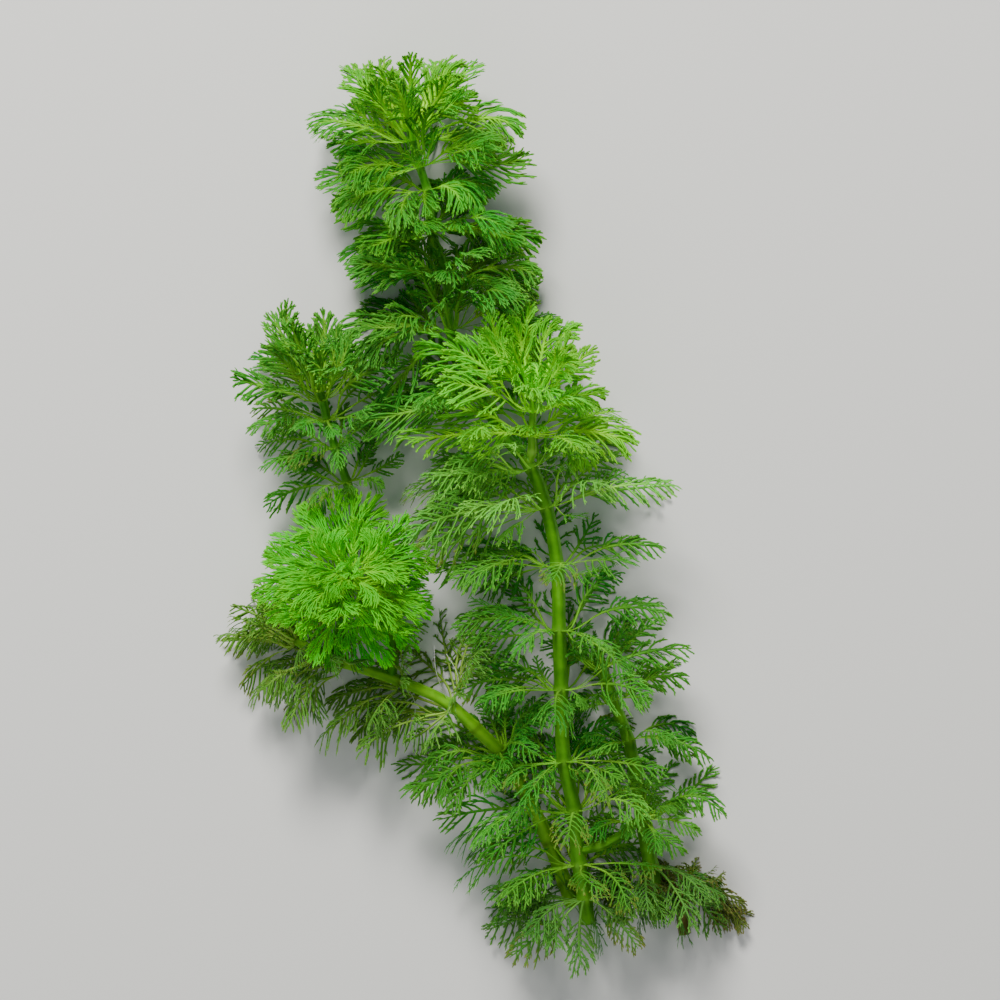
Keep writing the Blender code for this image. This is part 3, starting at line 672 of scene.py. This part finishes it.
# Where along a segment or a lobe its shape's four shares hold, and where their points are
SHAPE_SHARES = (0.0, 0.4, 0.88, 1.0)
SEGMENT_SHARES = np.array([0.0, 0.22, 0.46, 0.7, 0.9, 1.0])
LOBE_SHARES = np.array([0.0, 0.6, 1.0])


def leaf_parts(leaf, form, dice, tone, age):
    """The ribbons of one leaf: its middle rib, its segments and their lobes."""
    parts = []
    count = 2 * form.pairs

    def add(paths, widths, tint, flatness=FLATNESS, corners=SEGMENT_CORNERS):
        path, up = place_on(leaf, *paths)
        points, quads = ribbons(path, up, widths, flatness, corners)
        values = {
            "tint": np.repeat(tint, corners),
            "tone": np.full(len(points), tone),
            "age": np.full(len(points), age),
        }
        parts.append((points, quads, values))

    # Middle rib
    share = np.linspace(0, 1, RIB_POINTS)[None]
    flat = np.zeros_like(share)
    size = min(1.0, leaf.length / FULL_WIDTH_FROM)
    places = [0, FOOT_END, form.bare, form.bare + WING_AFTER, WING_END, 1]
    petiole = [form.petiole * part for part in (RIB_FOOT, 1, RIB_NECK, RIB_TIP)]
    rib = petiole[:3] + [form.wing, RIB_PAST_WING * form.wing] + petiole[3:]
    widths = np.interp(share, places, rib) * size * MM
    rib_tint = np.interp(share, [0, form.bare, form.bare + TINT_AFTER, 1], RIB_TINTS) * form.rib_green
    add((share * leaf.length * RIB_REACH, flat, flat, flat), widths, rib_tint, RIB_FLATNESS, RIB_CORNERS)

    # Segments on both sides, in turn
    number = np.arange(count)
    starts = form.bare + (number + FIRST_SEGMENT) / count * (LAST_SEGMENT - form.bare)
    starts = starts + dice.normal(0, SEGMENT_SHIFT / count, count)
    sides = np.where(number % 2 == 0, 1.0, -1.0)
    place = (starts - form.bare) / (1 - form.bare)
    angles = np.radians(form.first + (form.last - form.first) * place + dice.normal(0, ANGLE_NOISE, count))
    lengths = reach_to_outline(form, leaf, starts, angles) * dice.uniform(*SEGMENT_LENGTHS, count)
    lengths = np.maximum(lengths, SHORTEST_SEGMENT * size)
    bends = -np.radians(form.sweep + dice.normal(0, BEND_NOISE, count)) * sides
    foot = (starts * leaf.length, np.zeros(count))
    along, side, turn = bent_paths(foot, angles * sides, lengths, bends, SEGMENT_SHARES)
    slope = math.tan(math.radians(form.cup)) + dice.normal(0, form.ruffle, count)
    droop = form.droop + dice.normal(0, form.ruffle, count)
    run = SEGMENT_SHARES[None] * lengths[:, None]
    rise = slope[:, None] * run - droop[:, None] * run * SEGMENT_SHARES[None]
    hang = form.hang * run * SEGMENT_SHARES[None]
    breadth = np.clip(lengths / NORMAL_SEGMENT, *BREADTHS) * size * MM
    shape = np.interp(SEGMENT_SHARES, SHAPE_SHARES, form.segment_shape)
    widths = breadth[:, None] * form.width * shape[None]
    base_tint = FOOT_TINT * form.rib_green + TINT_ALONG * place
    tint = base_tint[:, None] + (TIP_TINT - base_tint)[:, None] * SEGMENT_SHARES[None]
    add((along, side, rise, hang), widths, tint)

    # Lobes on the segments, in turn on either side
    for k in range(form.lobes):
        middle = form.lobed + (LAST_LOBE - form.lobed) * (k + 0.5) / form.lobes
        spot = np.clip(middle + dice.normal(0, LOBE_SHIFT, count), *LOBE_PLACES)
        start = (at_share(along, spot, SEGMENT_SHARES), at_share(side, spot, SEGMENT_SHARES))
        height = at_share(rise, spot, SEGMENT_SHARES)
        depth = at_share(hang, spot, SEGMENT_SHARES)
        flip = np.where((number // 2 + k) % 2 == 0, 1.0, -1.0)
        heading = turn[number, np.searchsorted(SEGMENT_SHARES, spot) - 1]
        lobe_angle = heading + flip * np.radians(form.lobe_angle + dice.normal(0, ANGLE_NOISE, count))
        lobe_length = lengths * form.lobe_share * (LOBE_AT_FOOT - LOBE_SHRINK * spot)
        lobe_length = lobe_length * dice.uniform(*LOBE_LENGTHS, count)
        lobe_length = np.minimum(lobe_length, form.longest_lobe * MM)
        lobe_bend = -flip * np.radians(form.lobe_angle * LOBE_BEND)
        lobe_along, lobe_side, _ = bent_paths(start, lobe_angle, lobe_length, lobe_bend, LOBE_SHARES)
        lobe_slope = slope - droop * spot + dice.normal(0, LOBE_RUFFLE * form.ruffle, count)
        lobe_run = LOBE_SHARES[None] * lobe_length[:, None]
        lobe_rise = height[:, None] + lobe_slope[:, None] * lobe_run
        lobe_hang = depth[:, None] + LOBE_HANG * form.hang * spot[:, None] * lobe_run
        shape = np.interp(LOBE_SHARES, SHAPE_SHARES, form.lobe_shape)
        widths = breadth[:, None] * form.lobe_width * shape[None]
        start_tint = base_tint + (TIP_TINT - base_tint) * spot
        tint = start_tint[:, None] + (1 - start_tint)[:, None] * LOBE_SHARES[None]
        add((lobe_along, lobe_side, lobe_rise, lobe_hang), widths, tint)
    return parts


def build_whorl(whorl, number, finishes):
    dice = np.random.default_rng(SEED + number)
    centre = stem_nodes(whorl.stem)[whorl.node]
    axis = stem_axis(whorl.stem, whorl.node)
    radius = stem_radius(whorl.stem, whorl.node)
    form = FORMS[whorl.form]
    parts = []
    reach = radius * RING_SHARE + RING_MORE
    between = form.between + whorl.fuller
    for skeleton in whorl_skeletons(whorl, centre, axis, reach, between, dice):
        leaf = make_leaf(centre, axis, radius, skeleton, dice)
        age = float(dice.random() < BROWN_TIPS.get(whorl.form, 0))
        tone = whorl.tone + skeleton.tone + dice.normal(0, SHADES)
        parts += leaf_parts(leaf, form, dice, tone, age)
    points, quads, values = joined(parts)
    piece = mesh_object(whorl.name + "_leaves", points, quads, values, finishes[whorl.finish])
    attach(piece, "root")
    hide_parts(whorl.name)


# Stems

def build_stem(stem, finish):
    """A stem as a tube with swollen nodes, fine ribs and closed ends."""
    nodes = stem_nodes(stem)
    lengths = np.concatenate([[0.0], np.cumsum(np.linalg.norm(np.diff(nodes, axis=0), axis=1))])
    count = int(lengths[-1] / (STEM_STEP * MM)) + 2
    path = smooth_curve(nodes, count)
    at = np.linspace(0, lengths[-1], count)
    place = np.interp(at, lengths, np.arange(len(nodes)))
    radius = stem_radius(stem, place)
    near = np.exp(-((at[:, None] - lengths[None, 1:-1]) / (NODE_LENGTH * MM)) ** 2).sum(axis=1)
    radius = radius * (1 + NODE_SWELL * near)
    radius[-1] *= TIP_WIDTH
    heading = unit(np.gradient(path, axis=0))
    right = unit(np.cross(heading, [0.0, 0.0, 1.0]))
    front = np.cross(right, heading)
    turn = np.linspace(0, 2 * math.pi, STEM_SIDES, endpoint=False)
    ribs = 1 + STEM_RIB_HEIGHT * np.cos(STEM_RIBS * turn)
    out = right[:, None] * np.cos(turn)[None, :, None] + front[:, None] * np.sin(turn)[None, :, None]
    points = path[:, None] + out * (radius[:, None] * ribs[None])[..., None]
    points = points.reshape(-1, 3)
    quads = tube_quads(count, STEM_SIDES)
    ends = np.array([path[0], path[-1] + heading[-1] * radius[-1] * TIP_DOME])
    points = np.vstack([points, ends])
    base, tip = len(points) - 2, len(points) - 1
    side = np.arange(0, STEM_SIDES, 2)
    after, later = side + 1, (side + 2) % STEM_SIDES
    last = (count - 1) * STEM_SIDES
    foot = np.stack([np.full_like(side, base), later, after, side], axis=-1)
    head = np.stack([np.full_like(side, tip), last + side, last + after, last + later], axis=-1)
    quads = np.vstack([quads, foot, head])
    values = {
        "around": np.append(np.tile(turn / (2 * math.pi), count), [0, 0]),
        "node": np.append(np.repeat(near, STEM_SIDES), [0, 0]),
    }
    piece = mesh_object(stem + "_skin", points, quads, values, finish)
    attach(piece, "root")
    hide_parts(stem)


# Root threads

def build_threads(finish):
    """Fine pale roots that grow from a few nodes."""
    parts = []
    share = np.linspace(0, 1, THREAD_POINTS)
    for stem, node, side, reach in THREADS:
        start = stem_nodes(stem)[node]
        end = start + np.array(reach) * MM
        middle = (start + end) / 2 + np.array(side) * MM
        path = smooth_curve(np.array([start, middle, end]), THREAD_POINTS)
        path[:, 2] = np.maximum(path[:, 2], LOWEST)
        widths = THREAD_WIDTH * MM * (1 - THREAD_TAPER * share)
        up = np.tile([0.0, 0.0, 1.0], (THREAD_POINTS, 1))
        points, quads = ribbons(path[None], up[None], widths[None], 1.0, THREAD_CORNERS)
        parts.append((points, quads, {"along": np.repeat(share, THREAD_CORNERS)}))
    points, quads, values = joined(parts)
    piece = mesh_object("root_threads", points, quads, values, finish)
    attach(piece, "root")


# Materials

# Noises: their waves for a metre, and their detail
LEAF_PATCHES = (90, 3)
LEAF_HUES = (45, 1)
LEAF_GRAIN = (1400, 2)
STEM_MOTTLE = (260, 4)
STEM_GRAIN = (1200, 3)
ROOT_GRAIN = (900, 2)
# Leaves: where along the tint the petiole's colour ends and the blade's starts and ends, how light the tissue
# is, and how much its tone with its painted light and shade and its patches add, its lowest hue and the range
# of it, where 0.5 is no change, the colour of brown tips and how sharply they start
PETIOLE_END = 0.22
BLADE_START = 0.48
BLADE_END = 0.8
PLAIN_LIGHT = 0.8
TONE_LIGHT = 0.6
PATCH_LIGHT = 0.4
LOWEST_HUE = 0.475
HUE_RANGE = 0.05
BROWN = (125, 95, 50)
BROWN_SHARPNESS = 7.0
# Stems: how much their stripes add to their mottle, where on that scale the dark colour ends and the light
# one starts, and how sharp and how clear the line at a node is
STRIPES = 0.14
STEM_DARK = 0.2
STEM_LIGHT = 0.8
NODE_LINE_SHARPNESS = 3.0
NODE_LINE = 0.7
# Root threads: where along them the green foot ends, and their colours
THREAD_FOOT_END = 0.4
THREAD_COLOURS = ((150, 185, 110), (205, 215, 190), (225, 230, 215))
# Roughness: the lowest, and how much the grain adds
LEAF_ROUGHNESS = (0.42, 0.25)
STEM_ROUGHNESS = (0.28, 0.2)
# Bumps: their strength, and their heights in metres
BUMP_STRENGTH = 0.5
LEAF_BUMP = 0.0002
STEM_BUMP = 0.0001
# Tissue: its gloss, how far red, green and blue light goes into it beside each other, and then for each kind
# how deep, in metres, and what share
GLOSS = 0.12
LIGHT_REACH = (0.5, 1.0, 0.15)
LEAF_TISSUE = (0.001, 0.28)
STEM_TISSUE = (0.0018, 0.4)
ROOT_TISSUE = (0.0006, 0.5)
# The power between display values and amounts of light
DISPLAY_POWER = 2.2


def colour(red, green, blue):
    """A surface colour from display values of 0 to 255."""
    return (*((v / 255) ** DISPLAY_POWER for v in (red, green, blue)), 1.0)


def new_material(name):
    made = bpy.data.materials.new(name)
    made.use_nodes = True
    tree = made.node_tree
    return made, tree.nodes, tree.links, tree.nodes["Principled BSDF"]


def attribute(nodes, name):
    node = nodes.new("ShaderNodeAttribute")
    node.attribute_name = name
    return node.outputs["Fac"]


def ramp(nodes, links, source, stops):
    node = nodes.new("ShaderNodeValToRGB")
    links.new(source, node.inputs["Fac"])
    points = node.color_ramp.elements
    while len(points) < len(stops):
        points.new(0.5)
    for point, (place, value) in zip(points, stops):
        point.position = place
        point.color = value
    return node.outputs["Color"]


def noise(nodes, links, scale, detail):
    where = nodes.new("ShaderNodeTexCoord")
    node = nodes.new("ShaderNodeTexNoise")
    node.inputs["Scale"].default_value = scale
    node.inputs["Detail"].default_value = detail
    links.new(where.outputs["Object"], node.inputs["Vector"])
    return node.outputs["Fac"]


def math_node(nodes, links, operation, *values):
    node = nodes.new("ShaderNodeMath")
    node.operation = operation
    for socket, value in zip(node.inputs, values):
        if isinstance(value, (int, float)):
            socket.default_value = value
        else:
            links.new(value, socket)
    return node.outputs["Value"]


def mixed_colour(nodes, links, share, first, second):
    """The first colour, going over to the second, a fixed one, as share goes from 0 to 1."""
    node = nodes.new("ShaderNodeMix")
    node.data_type = "RGBA"
    links.new(share, node.inputs["Factor"])
    links.new(first, node.inputs[6])
    node.inputs[7].default_value = second
    return node.outputs[2]


def bump(nodes, links, height, distance, shader):
    node = nodes.new("ShaderNodeBump")
    node.inputs["Strength"].default_value = BUMP_STRENGTH
    node.inputs["Distance"].default_value = distance
    links.new(height, node.inputs["Height"])
    links.new(node.outputs["Normal"], shader.inputs["Normal"])


def soft_tissue(shader, depth, share):
    """Lets light into the tissue, as in a thin green leaf, and keeps its gloss low."""
    shader.inputs["Specular IOR Level"].default_value = GLOSS
    shader.inputs["Subsurface Weight"].default_value = share
    shader.inputs["Subsurface Radius"].default_value = LIGHT_REACH
    shader.inputs["Subsurface Scale"].default_value = depth


def leaf_material(name, petiole, blade, tip):
    made, nodes, links, shader = new_material(name)
    stops = [(0.0, petiole), (PETIOLE_END, petiole), (BLADE_START, blade), (BLADE_END, blade), (1.0, tip)]
    base = ramp(nodes, links, attribute(nodes, "tint"), [(p, colour(*c)) for p, c in stops])
    patches = noise(nodes, links, *LEAF_PATCHES)
    # The leaves' lightness: their own tone, painted light and shade from the whorl and heart tones, and
    # random patches
    light = math_node(nodes, links, "MULTIPLY_ADD", attribute(nodes, "tone"), TONE_LIGHT, PLAIN_LIGHT)
    light = math_node(nodes, links, "MULTIPLY_ADD", patches, PATCH_LIGHT, light)
    hue = noise(nodes, links, *LEAF_HUES)
    hue = math_node(nodes, links, "MULTIPLY_ADD", hue, HUE_RANGE, LOWEST_HUE)
    shift = nodes.new("ShaderNodeHueSaturation")
    links.new(hue, shift.inputs["Hue"])
    links.new(light, shift.inputs["Value"])
    links.new(base, shift.inputs["Color"])
    tips = math_node(nodes, links, "POWER", attribute(nodes, "tint"), BROWN_SHARPNESS)
    faded = math_node(nodes, links, "MULTIPLY", tips, attribute(nodes, "age"))
    tissue = mixed_colour(nodes, links, faded, shift.outputs["Color"], colour(*BROWN))
    links.new(tissue, shader.inputs["Base Color"])
    grain = noise(nodes, links, *LEAF_GRAIN)
    lowest, more = LEAF_ROUGHNESS
    links.new(math_node(nodes, links, "MULTIPLY_ADD", grain, more, lowest), shader.inputs["Roughness"])
    bump(nodes, links, grain, LEAF_BUMP, shader)
    soft_tissue(shader, *LEAF_TISSUE)
    return made


def stem_material(name, dark, light, ring):
    made, nodes, links, shader = new_material(name)
    stripes = math_node(nodes, links, "MULTIPLY", attribute(nodes, "around"), 2 * math.pi * STEM_RIBS)
    stripes = math_node(nodes, links, "SINE", stripes)
    mottle = noise(nodes, links, *STEM_MOTTLE)
    mix = math_node(nodes, links, "MULTIPLY_ADD", stripes, STRIPES, mottle)
    body = ramp(nodes, links, mix, [(STEM_DARK, colour(*dark)), (STEM_LIGHT, colour(*light))])
    line = math_node(nodes, links, "POWER", attribute(nodes, "node"), NODE_LINE_SHARPNESS)
    line = math_node(nodes, links, "MULTIPLY", line, NODE_LINE)
    links.new(mixed_colour(nodes, links, line, body, colour(*ring)), shader.inputs["Base Color"])
    lowest, more = STEM_ROUGHNESS
    links.new(math_node(nodes, links, "MULTIPLY_ADD", mottle, more, lowest), shader.inputs["Roughness"])
    height = math_node(nodes, links, "ADD", stripes, noise(nodes, links, *STEM_GRAIN))
    bump(nodes, links, height, STEM_BUMP, shader)
    soft_tissue(shader, *STEM_TISSUE)
    return made


def thread_material():
    made, nodes, links, shader = new_material("pale_root")
    stops = [(place, colour(*c)) for place, c in zip((0.0, THREAD_FOOT_END, 1.0), THREAD_COLOURS)]
    links.new(ramp(nodes, links, attribute(nodes, "along"), stops), shader.inputs["Base Color"])
    links.new(noise(nodes, links, *ROOT_GRAIN), shader.inputs["Roughness"])
    soft_tissue(shader, *ROOT_TISSUE)
    return made


def make_finishes():
    """A leaf has colours for its petiole, blade and tips, and a stem dark, light and at its nodes."""
    return {
        "leaf": leaf_material("mid_green_leaf", (126, 196, 52), (64, 144, 41), (96, 182, 56)),
        "young_leaf": leaf_material("young_green_leaf", (128, 218, 32), (64, 154, 38), (92, 182, 40)),
        "fresh_leaf": leaf_material("fresh_green_leaf", (150, 236, 32), (88, 180, 36), (114, 208, 38)),
        # A paler copy of the leaf colours: partly the leaves' own grey-green, partly painted light for leaves
        # in the shade of the side crown
        "pale_lit_leaf": leaf_material("pale_green_lit_leaf", (140, 212, 68), (86, 166, 54), (120, 200, 70)),
        "bright_leaf": leaf_material("vivid_green_leaf", (136, 238, 24), (72, 190, 24), (106, 220, 28)),
        "shade_leaf": leaf_material("dark_green_leaf", (95, 152, 62), (62, 120, 46), (86, 152, 60)),
        "olive_leaf": leaf_material("olive_green_leaf", (135, 178, 72), (74, 130, 44), (108, 164, 66)),
        "old_leaf": leaf_material("brown_green_leaf", (125, 125, 60), (85, 105, 45), (125, 100, 60)),
        "olive_stem": stem_material("olive_green_stem", (55, 115, 6), (95, 165, 28), (115, 175, 50)),
        "green_stem": stem_material("mid_green_stem", (50, 120, 10), (85, 165, 32), (115, 180, 55)),
        "young_stem": stem_material("yellow_green_stem", (100, 165, 28), (140, 200, 60), (165, 215, 90)),
        "lime_stem": stem_material("lime_green_stem", (90, 155, 12), (130, 195, 40), (75, 110, 22)),
        "brown_stem": stem_material("brown_stem", (80, 75, 30), (115, 105, 50), (130, 120, 70)),
        "thread": thread_material(),
    }


# Stage: floor, lights and camera

# The view: its centre and its width, at the height where they hold. The camera stands far off, in metres, and
# its sensor is in millimetres
VIEW_CENTRE = (3.25 * MM, 2.25 * MM)
VIEW_WIDTH = 250 * MM
VIEW_HEIGHT = 17 * MM
CAMERA_DISTANCE = 2.0
SENSOR = 36.0
# The floor reaches this far from the middle, in metres
FLOOR_REACH = 2.0
FLOOR_COLOUR = (0.78, 0.78, 0.77, 1)
FLOOR_ROUGHNESS = 0.8
# Lights: place and size in metres, power in watts, and tint. They point at one place
LIGHTS = {
    "key_light": ((-0.2, 0.9, 0.9), 0.5, 27, (1.0, 0.98, 0.92)),
    "fill_light": ((-0.3, -0.7, 0.9), 0.9, 2.6, (0.98, 1.0, 0.95)),
}
LIGHT_TARGET = (0, 0, 0.01)
SKY_COLOUR = (0.9, 0.95, 1.0, 1)
SKY_STRENGTH = 0.22


def make_floor():
    mesh = bpy.data.meshes.new("floor")
    corners = [(x * FLOOR_REACH, y * FLOOR_REACH, 0) for x, y in ((-1, -1), (1, -1), (1, 1), (-1, 1))]
    mesh.from_pydata(corners, [], [(0, 1, 2, 3)])
    floor = bpy.data.objects.new("floor", mesh)
    bpy.context.scene.collection.objects.link(floor)
    made, _, _, shader = new_material("pale_floor")
    shader.inputs["Base Color"].default_value = FLOOR_COLOUR
    shader.inputs["Roughness"].default_value = FLOOR_ROUGHNESS
    mesh.materials.append(made)


def aim(obj, target):
    """Turns a light so that it points at the target."""
    away = np.array(obj.location) - np.array(target)
    level = math.hypot(away[0], away[1])
    obj.rotation_euler = (math.atan2(level, away[2]), 0, math.atan2(away[1], away[0]) + math.pi / 2)


def add_light(name, place, size, power, tint):
    data = bpy.data.lights.new(name, "AREA")
    data.shape = "DISK"
    data.size = size
    data.energy = power
    data.color = tint
    obj = bpy.data.objects.new(name, data)
    obj.location = place
    bpy.context.scene.collection.objects.link(obj)
    aim(obj, LIGHT_TARGET)


def make_lights():
    for name, settings in LIGHTS.items():
        add_light(name, *settings)
    world = bpy.data.worlds.new("studio")
    world.use_nodes = True
    sky = world.node_tree.nodes["Background"]
    sky.inputs["Color"].default_value = SKY_COLOUR
    sky.inputs["Strength"].default_value = SKY_STRENGTH
    bpy.context.scene.world = world


def make_camera():
    data = bpy.data.cameras.new("camera")
    data.sensor_width = SENSOR
    data.lens = SENSOR * CAMERA_DISTANCE / VIEW_WIDTH
    camera = bpy.data.objects.new("camera", data)
    camera.location = (*VIEW_CENTRE, VIEW_HEIGHT + CAMERA_DISTANCE)
    bpy.context.scene.collection.objects.link(camera)
    bpy.context.scene.camera = camera


def main():
    finishes = make_finishes()
    for stem in STEMS:
        build_stem(stem, finishes[STEM_FINISH[stem]])
    for number, whorl in enumerate(WHORLS):
        build_whorl(whorl, number, finishes)
    build_threads(finishes["thread"])
    make_floor()
    make_lights()
    make_camera()


main()
